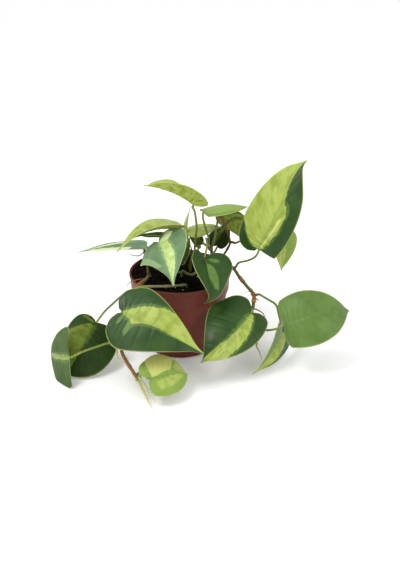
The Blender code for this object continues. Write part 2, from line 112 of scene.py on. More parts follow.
# Hair-thin dry roots: the points they pass, and their width
FINE_ROOTS = {
    "hooked_root_rim": (((-39, -28, 98), (-46, -31, 98.5), (-53, -33, 97.5), (-57, -33, 95),
                         (-60, -32, 91.5), (-58.5, -32, 88.5)), 1.4),
    "fine_root_node": (((82, -22, 78), (79, -22, 78.5), (75, -23, 76.5), (72, -24, 74)), 0.5),
    "torn_sheath_tip": (((86, -28, 73), (89, -28.5, 72), (92, -29, 70.5)), 2.2),
}

# Margin of one half of a blade, from the notch at its stalk round the lobe to the tip:
# share of the way round, distance out from the midrib in half widths, distance along it in lengths
MARGIN = (
    (0.00, 0.07, -0.05), (0.08, 0.32, -0.10), (0.18, 0.66, -0.08), (0.28, 0.90, 0.03),
    (0.38, 1.00, 0.18), (0.50, 0.96, 0.35), (0.62, 0.80, 0.53), (0.73, 0.58, 0.68),
    (0.83, 0.34, 0.81), (0.91, 0.14, 0.90), (0.96, 0.06, 0.95), (1.00, 0.015, 1.00),
)
# Where the side vein that ends at each of those shares leaves the midrib, in lengths
VEIN_FOOT = (
    (0.00, 0.000), (0.18, 0.015), (0.28, 0.05), (0.38, 0.11), (0.50, 0.21),
    (0.62, 0.35), (0.73, 0.50), (0.83, 0.66), (0.91, 0.80), (1.00, 1.00),
)
VEIN_CURVE = 1.4
# Brings the height of the curve y^4 (1 - y) to 1
HOOK_PEAK = 12.2


class Leaf(NamedTuple):
    """One leaf of the planting plan, in millimetres and degrees."""
    vine: str            # the vine that its stalk grows from
    stalk: tuple         # points that the stalk passes, from the vine towards the blade
    base: tuple          # where the stalk joins the blade
    tip: tuple
    width: float
    face: tuple          # roughly where the upper side looks
    arch: float = 0.06   # how far the midrib bows up, as a share of the length
    fold: float = 8.0    # how far each half lifts from the midrib
    camber: float = 20.0  # how far the margin bends back down
    sweep: float = 0.0   # how far the midrib bows sideways, as a share of the length
    hook: float = 0.0    # how far it bows sideways close to the tip, as a share of the length
    # Each half: its width, its lobe, its fullness towards the tip, and how far it lifts more
    left: tuple = (1.0, 1.0, 0.0, 0.0)
    right: tuple = (1.0, 1.0, 0.0, 0.0)


# Vines: the first point is where the vine is planted, the rest are above the soil
VINES = {
    "vine_front_left": (
        (-35, -10, 92), (-36, -12, 95), (-38, -24, 96), (-41, -38, 98.5), (-46, -50, 99),
        (-51, -58, 95), (-56, -67, 86), (-59, -75, 73), (-62, -85, 58), (-62, -95, 45),
        (-57, -102, 36), (-50, -109, 28), (-44, -116, 22),
    ),
    "vine_over_soil": (
        (8, -36, 92), (6, -38, 95), (-8, -41, 95), (-22, -45, 96.5), (-33, -50, 99),
        (-43, -56, 101), (-50, -63, 98), (-54, -68, 92),
    ),
    "vine_right": (
        (42, 10, 92), (45, 10, 98), (54, 6, 100), (63, 1, 98), (71, -8, 89.5),
        (79, -17, 82.5), (86, -24, 76), (86, -31, 65), (82, -38, 50), (82, -43, 36), (87, -47, 24),
    ),
    "vine_centre_left": ((12, 8, 92), (12, 8, 98), (14, 7, 108), (15, 6, 118)),
    "vine_centre_right": ((36, 22, 92), (36, 22, 98), (38, 20, 108), (37, 17, 118)),
    "vine_back_left": ((-30, 14, 92), (-31, 14, 98), (-37, 16, 105), (-44, 20, 110)),
    "vine_loop": (
        (2, -8, 92), (2, -10, 97), (4, -14, 101), (9, -17.5, 99.5), (15, -18, 98.5),
        (20, -14, 100.5), (23, -6, 105),
    ),
    "vine_back_right": (
        (46, 18, 92), (47, 18, 98), (52, 20, 106), (57, 24, 113), (60, 27, 120), (57, 29, 132),
        (52, 30, 145), (49, 30, 154),
    ),
}

LEAVES = {
    "leaf_crown_left": Leaf(
        "vine_centre_left", ((18, 2, 130), (20, -3, 150), (18, -10, 172)),
        (17, -15, 182), (-36, -30, 209), 56, (0.5, 0.35, 0.9), arch=0.07, fold=35, camber=15,
        left=(1.0, 1.3, 0.0, 0.0)),
    "leaf_upper_left": Leaf(
        "vine_centre_left", ((8, 6, 125), (0, 2, 142)),
        (-4, -5, 150), (-68, -35, 135), 54, (-0.1, 0.2, 1), arch=0.12, fold=25, camber=20,
        right=(1.15, 1.3, -0.18, 0.0)),
    "leaf_far_left_upper": Leaf(
        "vine_back_left", ((-45, 26, 112),),
        (-43, 30, 115), (-121, 10, 114), 46, (0, 0.1, 1), arch=0.03, fold=8, camber=15,
        right=(0.9, 0.5, -0.12, 0.0), left=(0.8, 0.3, 0.0, 0.0)),
    "leaf_under_left": Leaf(
        "vine_back_left", ((-30, 12, 118), (-22, 8, 130)),
        (-17, 4, 138), (-50, -6, 140), 36, (0, 0.5, 0.8), arch=0.06, fold=10, camber=20),
    "leaf_centre_drooping": Leaf(
        "vine_front_left", ((-37, -14, 105), (-36, -18, 120), (-29, -20, 138)),
        (-22, -30, 144), (-5, -70, 110), 66, (-0.5, -0.55, 0.6), arch=0.12, fold=0, camber=40,
        sweep=-0.1, left=(0.98, 1.0, -0.15, 0.0), right=(1.04, 1.0, -0.28, 18.0)),
    "leaf_centre_narrow": Leaf(
        "vine_loop", ((0, -22, 103), (-2, -28, 112)),
        (2, -25, 118), (12, -14, 144), 26, (0.7, 0.6, 0.2), arch=0.05, fold=10, camber=20,
        left=(0.55, 1.0, 0.0, 0.0)),
    "leaf_rim_front": Leaf(
        "vine_centre_right", ((31, 4, 134), (32, -8, 134), (31, -20, 130)),
        (29, -30, 124), (28, -72, 89), 50, (0.5, -0.55, 0.66), arch=0.06, fold=28, camber=20,
        sweep=-0.05, hook=-0.12, left=(1.22, 0.8, -0.08, 0.0), right=(0.95, 1.5, -0.08, 0.0)),
    "leaf_front_left": Leaf(
        "vine_over_soil", ((-59, -77, 83),),
        (-60, -86, 86), (28, -111, 49), 69, (0.25, -0.75, 0.6), arch=0.1, fold=4, camber=18,
        left=(1.08, 1.0, -0.13, 0.0), right=(1.1, 0.8, -0.14, 0.0)),
    "leaf_floor_small": Leaf(
        "vine_front_left", ((-42, -114, 27), (-37, -120, 28)),
        (-29, -125, 28), (10, -105, 19), 47, (0.1, -0.5, 0.85), arch=0.16, fold=4, camber=25,
        left=(1.15, 1.8, 0.05, 0.0), right=(1.0, 0.5, 0.15, 0.0)),
    "leaf_left_back": Leaf(
        "vine_front_left", ((-61, -58, 93), (-75, -50, 77), (-87, -40, 61)),
        (-96, -50, 52), (-127, -87, 5), 64, (0.2, -0.75, 0.6), arch=0.12, fold=5, camber=25,
        left=(1.15, 0.5, 0.22, 0.0), right=(0.8, 0.7, 0.0, 0.0)),
    "leaf_left_tip": Leaf(
        "vine_front_left", ((-76, -90, 50), (-90, -92, 46), (-104, -93, 41)),
        (-118, -95, 35), (-148, -60, 19), 74, (-0.855, -0.405, 0.2), arch=0.1, fold=5, camber=25,
        left=(1.05, 0.0, 0.1, 0.0), right=(0.93, 0.0, -0.28, 15.0)),
    "leaf_front_right": Leaf(
        "vine_right", ((84, -45, 67), (83, -51, 68)),
        (81, -55, 67), (25, -95, 27), 66, (-0.1, -0.6, 0.75), arch=0.1, fold=10, camber=30,
        sweep=-0.06, left=(0.8, 0.6, 0.03, 0.0), right=(1.32, 1.9, 0.0, 0.0)),
    "leaf_right": Leaf(
        "vine_right", ((95, -56, 46), (108, -67, 54)),
        (118, -70, 63), (194, -46, 66), 66, (-0.1, -0.75, 0.65), arch=0.2, fold=3, camber=25,
        left=(0.97, 0.35, 0.06, 0.0), right=(1.0, 0.35, 0.1, 0.0)),
    "leaf_right_hanging": Leaf(
        "vine_right", ((93, -27, 77), (103, -31, 72.5), (112, -34, 67), (116, -33, 54)),
        (121, -38, 44), (83, -84, 5), 46, (0.75, -0.6, -0.05), arch=0.1, fold=15, camber=20,
        left=(1.42, 0.8, -0.2, 0.0), right=(1.0, 1.0, 0.0, 0.0)),
    "leaf_top_right": Leaf(
        "vine_right", ((70, -1, 106), (80, -8, 112), (88, -14, 120)),
        (90, -20, 132), (140, -5, 229), 68, (-0.6, -0.75, 0.42), arch=0.06, fold=18, camber=30,
        sweep=0.03, hook=-0.045, left=(1.05, 0.8, 0.08, 0.0), right=(0.76, 0.0, 0.1, -24.0)),
    "leaf_behind_top_right": Leaf(
        "vine_back_right", ((68, 24, 121), (90, 22, 134), (110, 20, 142)),
        (120, 15, 138), (120, 0, 94), 38, (0.2, -0.9, 0.3), arch=0.08, fold=10, camber=25,
        left=(1.0, 1.0, -0.08, 0.0), right=(0.65, 1.0, -0.05, 0.0)),
    "leaf_crown_back": Leaf(
        "vine_centre_right", ((34, 14, 130), (29, 16, 148), (27, 19, 156)),
        (27, 20, 164), (83, 30, 163), 46, (0, 0.3, 0.95), arch=0.08, fold=5, camber=25,
        right=(1.3, 0.3, 0.1, -12.0), left=(1.0, 0.3, 0.0, 0.0)),
    "leaf_crown_under": Leaf(
        "vine_centre_right", ((42, 26, 130), (46, 34, 148)),
        (56, 36, 155), (79, 34, 118), 46, (0.5, 0.8, 0.4), arch=0.1, fold=5, camber=25),
    "leaf_centre_pale": Leaf(
        "vine_centre_right", ((30, 27, 117), (20, 34, 123)),
        (12, 36, 131), (50, 40, 134), 34, (0, -0.1, 1), arch=0.05, fold=5, camber=25),
    "leaf_centre_low": Leaf(
        "vine_centre_left", ((19, 22, 106), (22, 33, 110)),
        (24, 36, 113), (6, 50, 126), 30, (0.2, 0.9, 0.3), arch=0.05, fold=5, camber=20,
        right=(0.5, 1.0, 0.0, 0.0)),
    "leaf_centre_striped": Leaf(
        "vine_centre_right", ((42, 32, 106),),
        (45, 38, 112), (60, 60, 132), 34, (-0.3, -0.7, 0.6), arch=0.05, fold=5, camber=20,
        right=(0.7, 1.0, 0.0, 0.0)),
}

# Tapered shoots, sheaths and roots: vine, points from the vine to the free end, width at the root
SHOOTS = {
    "shoot_rolled_leaf": ("vine_centre_left", ((13, 24, 115), (6, 35, 134), (12, 40, 160)), 6.0),
    "shoot_back_left": ("vine_back_left", ((-50, 14, 108), (-58, 10, 111), (-67, 9, 117)), 2.4),
    "shoot_trailing": (
        "vine_front_left", ((-41, -119, 18), (-37, -125, 12), (-28, -141, 2.5)), 3.6),
    "sheath_trailing": (
        "vine_front_left", ((-39, -118, 21), (-33, -123, 14), (-24, -136, 5)), 2.6),
    "sheath_front_left": (
        "vine_front_left", ((-67, -92, 45), (-67, -94, 35), (-62, -99, 24)), 3.0),
    "sheath_right_front": ("vine_right", ((90, -49, 20), (94, -52, 13), (97, -54, 2.5)), 3.0),
    "root_right": ("vine_right", ((90, -34, 61), (97, -36, 57), (101, -36, 48)), 1.6),
}

# Vines that aren't green
VINE_SKINS = {
    "vine_front_left": "brown", "vine_back_right": "reddish", "vine_over_soil": "pale",
    "vine_loop": "pale",
}
# Vines that are thinner than the frame's stand-ins, as shares
VINE_SLIMNESS = {"vine_back_right": 0.72, "vine_loop": 0.75, "vine_over_soil": 0.8}
# Leaves whose upper side isn't that of a grown leaf in full light
# The darkest of these skins is painted shade: a darker copy of the grown face for leaves in shadow
LEAF_SKINS = {
    "leaf_centre_drooping": "young", "leaf_far_left_upper": "young",
    "leaf_under_left": "young", "leaf_left_back": "shadowed",
    "leaf_centre_low": "shadowed", "leaf_centre_striped": "shadowed", "leaf_crown_under": "shadowed",
    "leaf_left_tip": "dusty", "leaf_floor_small": "tender", "leaf_crown_back": "tender",
    "leaf_behind_top_right": "tender",
}

# Sectors painted on each blade: rows of share round the margin, way across from and to
PAINT_KINDS = ("lime", "cream", "fresh")
ALL_OVER = [((0.0, -1.6, 1.6), (1.0, -1.6, 1.6))]
PAINT = {
    "leaf_crown_left": {"lime": ALL_OVER},
    "leaf_upper_left": {"lime": ALL_OVER},
    "leaf_far_left_upper": {
        "cream": [((0.45, -1.2, -0.55), (0.9, -1.2, -0.4)), ((0.5, 0.5, 0.8), (0.95, 0.3, 0.7))]},
    "leaf_under_left": {"lime": [((0.1, 0.3, 0.7), (0.9, 0.2, 0.8))]},
    "leaf_centre_drooping": {
        "lime": [((0.08, -0.3, 0.0), (0.2, -0.5, 0.02), (0.32, -0.45, 0.02), (0.42, -0.3, 0.02),
                  (0.6, -0.4, 0.03), (0.75, -0.55, 0.05), (1.0, -0.8, 0.2))],
        "cream": [((0.14, -0.8, -0.2), (0.24, -0.75, -0.15), (0.33, -0.5, -0.2))],
        "fresh": [((0.3, 0.75, 1.2), (0.8, 0.5, 1.2))]},
    "leaf_centre_narrow": {"lime": [((0.1, 0.05, 1.2), (1.0, 0.0, 1.2))]},
    "leaf_rim_front": {
        "fresh": [((0.25, -0.3, -0.12), (0.33, -0.5, -0.15), (0.4, -0.5, -0.3)),
                  ((0.42, -0.12, 0.0), (0.55, -0.3, 0.0), (0.7, -0.5, -0.02),
                   (0.82, -0.7, -0.3))]},
    "leaf_front_left": {
        "lime": [
            ((0.0, -0.03, 0.02), (0.1, -0.06, 0.03), (0.2, -0.12, 0.05), (0.3, -0.18, 0.07),
             (0.38, -0.27, 0.08), (0.45, -0.38, 0.2), (0.5, -0.47, 0.14), (0.57, -0.62, 0.05),
             (0.65, -0.82, 0.0), (0.75, -1.1, 0.0), (1.0, -1.3, 0.0))],
        "fresh": [((0.17, 0.1, 0.3), (0.22, 0.1, 0.5), (0.27, 0.1, 0.3)),
                  ((0.38, 0.1, 0.5), (0.43, 0.1, 0.6), (0.47, 0.1, 0.3))]},
    "leaf_floor_small": {
        "fresh": ALL_OVER,
        "cream": [((0.24, -1.1, 0.0), (0.4, -1.1, 0.02), (0.7, -1.1, -0.2))],
        "lime": [((0.35, 0.25, 0.68), (0.9, 0.15, 0.6)), ((0.74, -1.1, -0.4), (1.0, -1.1, 0.0))]},
    "leaf_left_back": {
        "lime": [
            ((0.1, 0.05, 0.5), (0.18, 0.1, 0.9), (0.22, 0.15, 0.85)),
            ((0.28, 0.0, 0.2), (0.4, 0.0, 0.55), (0.52, 0.0, 1.1), (0.7, 0.0, 1.2),
             (1.0, 0.0, 1.2))]},
    "leaf_left_tip": {"lime": [((0.05, -0.06, 0.05), (0.6, -0.12, 0.06), (1.0, -0.4, 0.15))]},
    "leaf_front_right": {
        "lime": [((0.02, -0.1, 0.0), (0.15, -0.16, 0.0), (0.3, -0.26, 0.0), (0.4, -0.38, 0.0),
                  (0.5, -0.52, 0.0), (0.6, -0.7, 0.0), (0.7, -0.9, 0.02), (0.78, -1.1, 0.06),
                  (0.88, -1.2, 0.25), (1.0, -1.3, 0.9))]},
    "leaf_right": {"fresh": ALL_OVER},
    "leaf_right_hanging": {
        "fresh": [((0.0, 0.0, 1.6), (1.0, 0.0, 1.6))],
        "lime": [((0.4, -0.3, 0.1), (0.7, -0.7, 0.2), (1.0, -1.0, 0.6))]},
    "leaf_top_right": {
        "lime": [((0.0, -0.06, 0.06), (0.1, -0.2, 0.12), (0.2, -0.36, 0.2), (0.28, -0.56, 0.26),
                  (0.34, -0.82, 0.3), (0.4, -1.3, 0.33), (0.5, -1.5, 0.43), (0.6, -1.5, 0.5),
                  (0.67, -1.5, 0.44), (0.74, -1.5, 0.22), (0.85, -1.5, 0.12), (1.0, -1.5, 0.2))],
        "cream": [((0.04, -0.05, 0.02), (0.2, 0.02, 0.1), (0.45, 0.1, 0.24), (0.6, 0.2, 0.38))]},
    "leaf_behind_top_right": {"lime": [((0.3, -0.15, 1.5), (1.0, -0.5, 1.5))],
                              "fresh": ALL_OVER},
    "leaf_crown_back": {"fresh": [((0.0, -1.6, 0.7), (1.0, -1.6, 1.0))]},
    # On leaf_crown_under, whose underside shows, the lime bands are painted light shining through
    # it
    "leaf_crown_under": {"fresh": ALL_OVER, "lime": [
        ((0.0, -1.6, 1.6), (0.3, -1.6, 1.6)), ((0.36, -1.6, 1.6), (0.5, -1.6, 1.6)),
        ((0.57, -1.6, 1.6), (1.0, -1.6, 1.6))]},
    "leaf_centre_pale": {"lime": ALL_OVER},
    "leaf_centre_striped": {"lime": [((0.2, -0.5, -0.2), (0.9, -0.5, -0.15))]},
}


def linear(code):
    """A colour given as sRGB hex, as the linear values that shaders take."""
    channels = [int(code[index:index + 2], 16) / 255 for index in (0, 2, 4)]
    values = [c / 12.92 if c <= 0.04045 else ((c + 0.055) / 1.055) ** 2.4 for c in channels]
    return (*values, 1.0)


def add(tree, kind, sockets, **settings):
    """Add a shader node with its settings. A socket is given a value, or an output to link to it.

    Returns the node's outputs. A colour Mix node takes its share at 0 and its colours at 6 and 7,
    and gives its result at 2.
    """
    made = tree.nodes.new("ShaderNode" + kind)
    for name, value in settings.items():
        setattr(made, name, value)
    for place, value in sockets.items():
        if isinstance(value, bpy.types.NodeSocket):
            tree.links.new(value, made.inputs[place])
        else:
            made.inputs[place].default_value = value
    return made.outputs


def start_material(name, sockets):
    """A new material, its node tree, its shader with some sockets set, and Object coordinates."""
    material = bpy.data.materials.new(name)
    material.use_nodes = True
    tree = material.node_tree
    shader = tree.nodes["Principled BSDF"]
    for place, value in sockets.items():
        shader.inputs[place].default_value = value
    return material, tree, shader, add(tree, "TexCoord", {})["Object"]


def coat(tree, under, pattern, low, high, strength, over):
    """Lay a colour over another: none of it where a pattern is low, up to strength where high."""
    share = add(
        tree, "MapRange", {0: pattern, 1: low, 2: high, 4: strength},
        interpolation_type="SMOOTHSTEP")[0]
    return add(tree, "Mix", {0: share, 6: under, 7: over}, data_type="RGBA")[2]


def dress(tree, shader, colour, relief, depth, strength=1.0):
    """Give a shader its colour, and a relief of a depth in metres."""
    normal = add(tree, "Bump", {"Height": relief, "Distance": depth, "Strength": strength})[0]
    tree.links.new(colour, shader.inputs["Base Color"])
    tree.links.new(normal, shader.inputs["Normal"])


def leaf_material(name, dark, fresh, lime, cream, roughness, gloss):
    """A living leaf. Dark green tissue is crossed by lime and cream sectors with torn edges.

    The attributes it reads: blade has the way round the margin, the way across and a seed;
    paint has how far inside its lime, cream and fresh-green sectors a point is; veins has the
    closeness to a side vein, to the midrib and to the margin.
    """
    material, tree, shader, around = start_material(
        name, {"Roughness": roughness, "IOR": 1.42, "Specular IOR Level": gloss})
    dark, fresh, lime = [[linear(code) for code in pair] for pair in (dark, fresh, lime)]
    cream = linear(cream)
    place, paint, veins = [
        add(tree, "Attribute", {}, attribute_name=layer)["Vector"]
        for layer in ("blade", "paint", "veins")]
    sector = add(tree, "SeparateXYZ", {0: paint})
    line = add(tree, "SeparateXYZ", {0: veins})
    # Sectors tear along the side veins: about forty streaks down a blade, each a few times longer
    streaks, blots, folds = [
        add(tree, "TexNoise", {
            "Vector": add(tree, "Mapping", {"Vector": place, "Scale": stretch})[0],
            "Scale": 1.0, "Detail": detail})[0]
        for stretch, detail in (
            ((34.0, 5.0, 9.0), 4.0), ((9.0, 3.5, 7.0), 3.0), ((13.0, 2.2, 7.0), 2.0))]
    # Clouds of colour about 18 mm across, and a skin grain of about 1 mm
    cloud, grain = [
        add(tree, "TexNoise", {"Vector": around, "Scale": scale, "Detail": 2.0})[0]
        for scale in (55.0, 900.0)]
    # Noise that moves a sector's edge in and out by up to about an eighth of half a blade
    tear = add(tree, "Math", {0: streaks, 1: blots}, operation="ADD")[0]
    inside, creamy = [
        add(tree, "Math", {
            0: tear, 1: 0.12, 2: add(tree, "Math", {0: field, 1: 0.12}, operation="SUBTRACT")[0]},
            operation="MULTIPLY_ADD")[0]
        for field in (sector[0], sector[1])]
    base = coat(tree, dark[0], cloud, 0.2, 0.8, 1.0, dark[1])
    young = coat(tree, fresh[0], cloud, 0.15, 0.85, 1.0, fresh[1])
    base = coat(tree, base, sector[2], -0.05, 0.05, 1.0, young)
    # Fresh green leaks a little way out of each lime sector, along the streaks
    near = add(
        tree, "MapRange", {0: inside, 1: -0.14, 2: -0.05}, interpolation_type="SMOOTHSTEP")[0]
    halo = add(tree, "Math", {0: near, 1: streaks}, operation="MULTIPLY")[0]
    base = add(tree, "Mix", {0: halo, 6: base, 7: fresh[1]}, data_type="RGBA")[2]
    pale = coat(tree, lime[0], folds, 0.32, 0.62, 1.0, lime[1])
    base = coat(tree, base, inside, -0.012, 0.02, 1.0, pale)
    base = coat(tree, base, creamy, -0.02, 0.04, 1.0, cream)
    # Side veins, the midrib and the margin are each paler than what they cross
    for closeness, strength, colour, blend in (
            (line[0], 0.16, lime[0], "SOFT_LIGHT"), (line[1], 0.55, fresh[1], "MIX"),
            (line[2], 0.75, cream, "MIX")):
        share = add(tree, "Math", {0: closeness, 1: strength}, operation="MULTIPLY")[0]
        base = add(
            tree, "Mix", {0: share, 6: base, 7: colour}, data_type="RGBA", blend_type=blend)[2]
    # The cuticle is duller in some clouds than in others
    sheen = add(
        tree, "MapRange", {0: cloud, 1: 0.3, 2: 0.7, 3: roughness - 0.05, 4: roughness + 0.08},
        interpolation_type="SMOOTHSTEP")[0]
    tree.links.new(sheen, shader.inputs["Roughness"])
    # The midrib and the side veins lie sunk in the upper side
    relief = add(tree, "Math", {0: line[1], 1: -1.0}, operation="MULTIPLY")[0]
    for pattern, height in ((line[0], -0.6), (grain, 0.1)):
        relief = add(
            tree, "Math", {0: pattern, 1: height, 2: relief}, operation="MULTIPLY_ADD")[0]
    dress(tree, shader, base, relief, 0.0002, 0.7)
    return material


def stem_material(name, foot, middle, top):
    """A green living stem, browner at its foot. The tube attribute says how far along it is."""
    material, tree, shader, around = start_material(
        name, {"Roughness": 0.42, "IOR": 1.42, "Specular IOR Level": 0.25})
    tube = add(tree, "Attribute", {}, attribute_name="tube")["Vector"]
    along = add(tree, "SeparateXYZ", {0: tube})[1]
    # Streaks that tell one stem from the next by its seed, and mottling of about 4 mm
    stretched = add(tree, "Mapping", {"Vector": tube, "Scale": (60.0, 40.0, 25.0)})[0]
    streaks = add(tree, "TexNoise", {"Vector": stretched, "Scale": 1.0, "Detail": 3.0})[0]
    mottle = add(tree, "TexNoise", {"Vector": around, "Scale": 260.0, "Detail": 3.0})[0]
    foot, middle, top = [linear(code) for code in (foot, middle, top)]
    colour = coat(tree, foot, along, 0.0, 0.3, 1.0, middle)
    colour = coat(tree, colour, along, 0.55, 1.0, 1.0, top)
    colour = coat(tree, colour, mottle, 0.3, 0.75, 0.45, foot)
    colour = coat(tree, colour, streaks, 0.55, 0.75, 0.35, top)
    dress(tree, shader, colour, mottle, 0.00015, 0.7)
    return material


def pot_material():
    """Polypropylene, moulded against a fine matt tool: soft wide highlights on brick red."""
    material, tree, shader, around = start_material(
        "moulded_polypropylene", {"IOR": 1.49, "Specular IOR Level": 0.22})
    height = add(tree, "SeparateXYZ", {0: around})[2]
    # Clouding about 30 mm across, and a tool grain of under 1 mm
    cloud, grain = [
        add(tree, "TexNoise", {"Vector": around, "Scale": scale, "Detail": detail})[0]
        for scale, detail in ((30.0, 3.0), (1400.0, 2.0))]
    # Rubbing marks run round the pot, a millimetre or so apart
    flattened = add(tree, "Mapping", {"Vector": around, "Scale": (60.0, 60.0, 700.0)})[0]
    marks = add(tree, "TexNoise", {"Vector": flattened, "Scale": 1.0, "Detail": 4.0})[0]
    colour = coat(tree, linear("5A2618"), cloud, 0.3, 0.7, 1.0, linear("652B1D"))
    colour = coat(tree, colour, marks, 0.6, 0.8, 0.18, linear("7A4436"))
    # The lowest 20 mm turns darker towards the ground, in clouds
    low = add(
        tree, "MapRange", {0: height, 1: 0.02, 2: 0.0, 4: 0.5}, interpolation_type="SMOOTHSTEP")[0]
    low_darkening = add(tree, "Math", {0: low, 1: cloud}, operation="MULTIPLY")[0]
    colour = add(tree, "Mix", {0: low_darkening, 6: colour, 7: linear("3A1E16")}, data_type="RGBA")[2]
    worn = add(
        tree, "MapRange", {0: marks, 1: 0.3, 2: 0.8, 3: 0.36, 4: 0.5},
        interpolation_type="SMOOTHSTEP")[0]
    tree.links.new(worn, shader.inputs["Roughness"])
    dress(tree, shader, colour, grain, 0.00004, 0.5)
    return material


def peat_material():
    """Damp milled peat: nearly black, with paler fibres and crumbs of 1 to 3 mm."""
    material, tree, shader, around = start_material(
        "milled_peat", {"Roughness": 0.92, "IOR": 1.4, "Specular IOR Level": 0.1})
    crumbs = add(tree, "TexNoise", {"Vector": around, "Scale": 420.0, "Detail": 4.0})[0]
    # Fibres about 1 mm thick and 4 mm long
    combed = add(tree, "Mapping", {"Vector": around, "Scale": (1100.0, 260.0, 500.0)})[0]
    fibres = add(tree, "TexNoise", {"Vector": combed, "Scale": 1.0, "Detail": 3.0})[0]
    colour = coat(tree, linear("070504"), crumbs, 0.4, 0.7, 1.0, linear("1A110B"))
    colour = coat(tree, colour, fibres, 0.62, 0.75, 0.8, linear("4A2C1A"))
    dress(tree, shader, colour, crumbs, 0.0008)
    return material


def perlite_material():
    """Perlite: expanded volcanic glass, chalk white, with pores of under 1 mm."""
    material, tree, shader, around = start_material("perlite", {"Roughness": 0.85})
    pores = add(tree, "TexNoise", {"Vector": around, "Scale": 1500.0, "Detail": 3.0})[0]
    colour = coat(tree, linear("A8A49A"), pores, 0.3, 0.6, 1.0, linear("EDEBE4"))
    dress(tree, shader, colour, pores, 0.0002)
    return material


def dry_material(name, foot, tip, fibre, roughness):
    """Dried leaf sheath: papery tissue with brown fibres of about 2 mm."""
    material, tree, shader, around = start_material(name, {"Roughness": roughness, "IOR": 1.4})
    tube = add(tree, "Attribute", {}, attribute_name="tube")["Vector"]
    along = add(tree, "SeparateXYZ", {0: tube})[1]
    fibres = add(tree, "TexNoise", {"Vector": around, "Scale": 600.0, "Detail": 3.0})[0]
    colour = coat(tree, linear(foot), along, 0.0, 1.0, 1.0, linear(tip))
    colour = coat(tree, colour, fibres, 0.45, 0.75, 0.7, linear(fibre))
    dress(tree, shader, colour, fibres, 0.0002)
    return material


def finish_piece(name, shape, materials, replaced=()):
    """Turn a bmesh into a smooth object that rides on the root and wears the given materials."""
    mesh = bpy.data.meshes.new(name)
    shape.to_mesh(mesh)
    shape.free()
    mesh.shade_smooth()
    for material in materials:
        mesh.materials.append(material)
    piece = bpy.data.objects.new(name, mesh)
    bpy.context.scene.collection.objects.link(piece)
    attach(piece, "root")
    if replaced:
        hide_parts(*replaced)
    return piece


def smooth_route(points, spacing):
    """Points at an even spacing along a Catmull-Rom curve through the given ones."""
    chain = [points[0] * 2 - points[1], *points, points[-1] * 2 - points[-2]]
    fine = []
    for index in range(1, len(chain) - 2):
        before, start, end, after = chain[index - 1:index + 3]
        steps = max(2, math.ceil((end - start).length / spacing * 4))
        for step in range(steps):
            t = step / steps
            fine.append(0.5 * (
                2 * start + (end - before) * t
                + (2 * before - 5 * start + 4 * end - after) * t * t
                + (3 * start - before - 3 * end + after) * t * t * t))
    fine.append(points[-1])
    travelled = [0.0]
    for first, second in zip(fine, fine[1:]):
        travelled.append(travelled[-1] + (second - first).length)
    count = max(2, round(travelled[-1] / spacing))
    route = []
    index = 0
    for step in range(count + 1):
        wanted = travelled[-1] * step / count
        while index < len(fine) - 2 and travelled[index + 1] < wanted:
            index += 1
        span = travelled[index + 1] - travelled[index]
        share = (wanted - travelled[index]) / span if span else 0.0
        route.append(fine[index].lerp(fine[index + 1], share))
    return route


def make_tube(route, radius_at, sides, seed, squash=1.0):
    """A closed tube: one ring of sides, extruded and turned from point to point of the route.

    radius_at gives the radius at a distance along and a share of the length.
    """
    shape = bmesh.new()
    mark = shape.verts.layers.float_vector.new("tube")
    verts = bmesh.ops.create_circle(shape, segments=sides, radius=1.0)["verts"]
    first_edges = edges = list(shape.edges)
    length = sum((b - a).length for a, b in zip(route, route[1:]))
    travelled = 0.0
    heading = Vector((0, 0, 1))
    turn = Matrix.Identity(3)
    placed = Matrix.Identity(4)
    for index, point in enumerate(route):
        ahead = route[min(index + 1, len(route) - 1)]
        behind = route[max(index - 1, 0)]
        direction = (ahead - behind).normalized()
        turn = heading.rotation_difference(direction).to_matrix() @ turn
        heading = direction
        if index:
            travelled += (point - route[index - 1]).length
            grown = bmesh.ops.extrude_edge_only(shape, edges=edges)["geom"]
            verts = [part for part in grown if isinstance(part, bmesh.types.BMVert)]
            edges = [part for part in grown if isinstance(part, bmesh.types.BMEdge)]
        radius = radius_at(travelled, travelled / length)
        size = Matrix.Diagonal((radius, radius * squash, radius, 1.0))
        wanted = Matrix.Translation(point) @ turn.to_4x4() @ size
        bmesh.ops.transform(shape, matrix=wanted @ placed.inverted(), verts=verts)
        placed = wanted
        for vertex in verts:
            vertex[mark] = (travelled, travelled / length, seed)
    for end in (first_edges, edges):
        bmesh.ops.contextual_create(shape, geom=end)
    bmesh.ops.recalc_face_normals(shape, faces=shape.faces)
    return shape


def blade_frame(leaf):
    """The blade's placing: origin at its stalk, +Y to the tip, +Z out of its upper side."""
    base = Vector(leaf.base) * MM
    tip = Vector(leaf.tip) * MM
    forward = (tip - base).normalized()
    up = Vector(leaf.face)
    up = (up - forward * up.dot(forward)).normalized()
    side = forward.cross(up)
    turn = Matrix((side, forward, up)).transposed()
    return Matrix.Translation(base) @ turn.to_4x4(), (tip - base).length


def read_table(table, share, column):
    """A smooth value between the rows of a table whose first column rises."""
    index = 0
    while index < len(table) - 2 and table[index + 1][0] < share:
        index += 1
    lower, upper = table[index], table[index + 1]
    before = table[max(index - 1, 0)]
    after = table[min(index + 2, len(table) - 1)]
    span = upper[0] - lower[0]
    t = (share - lower[0]) / span
    slope_in = (upper[column] - before[column]) / (upper[0] - before[0]) * span
    slope_out = (after[column] - lower[column]) / (after[0] - lower[0]) * span
    return (
        (2 * t ** 3 - 3 * t ** 2 + 1) * lower[column] + (t ** 3 - 2 * t ** 2 + t) * slope_in
        + (3 * t ** 2 - 2 * t ** 3) * upper[column] + (t ** 3 - t ** 2) * slope_out)


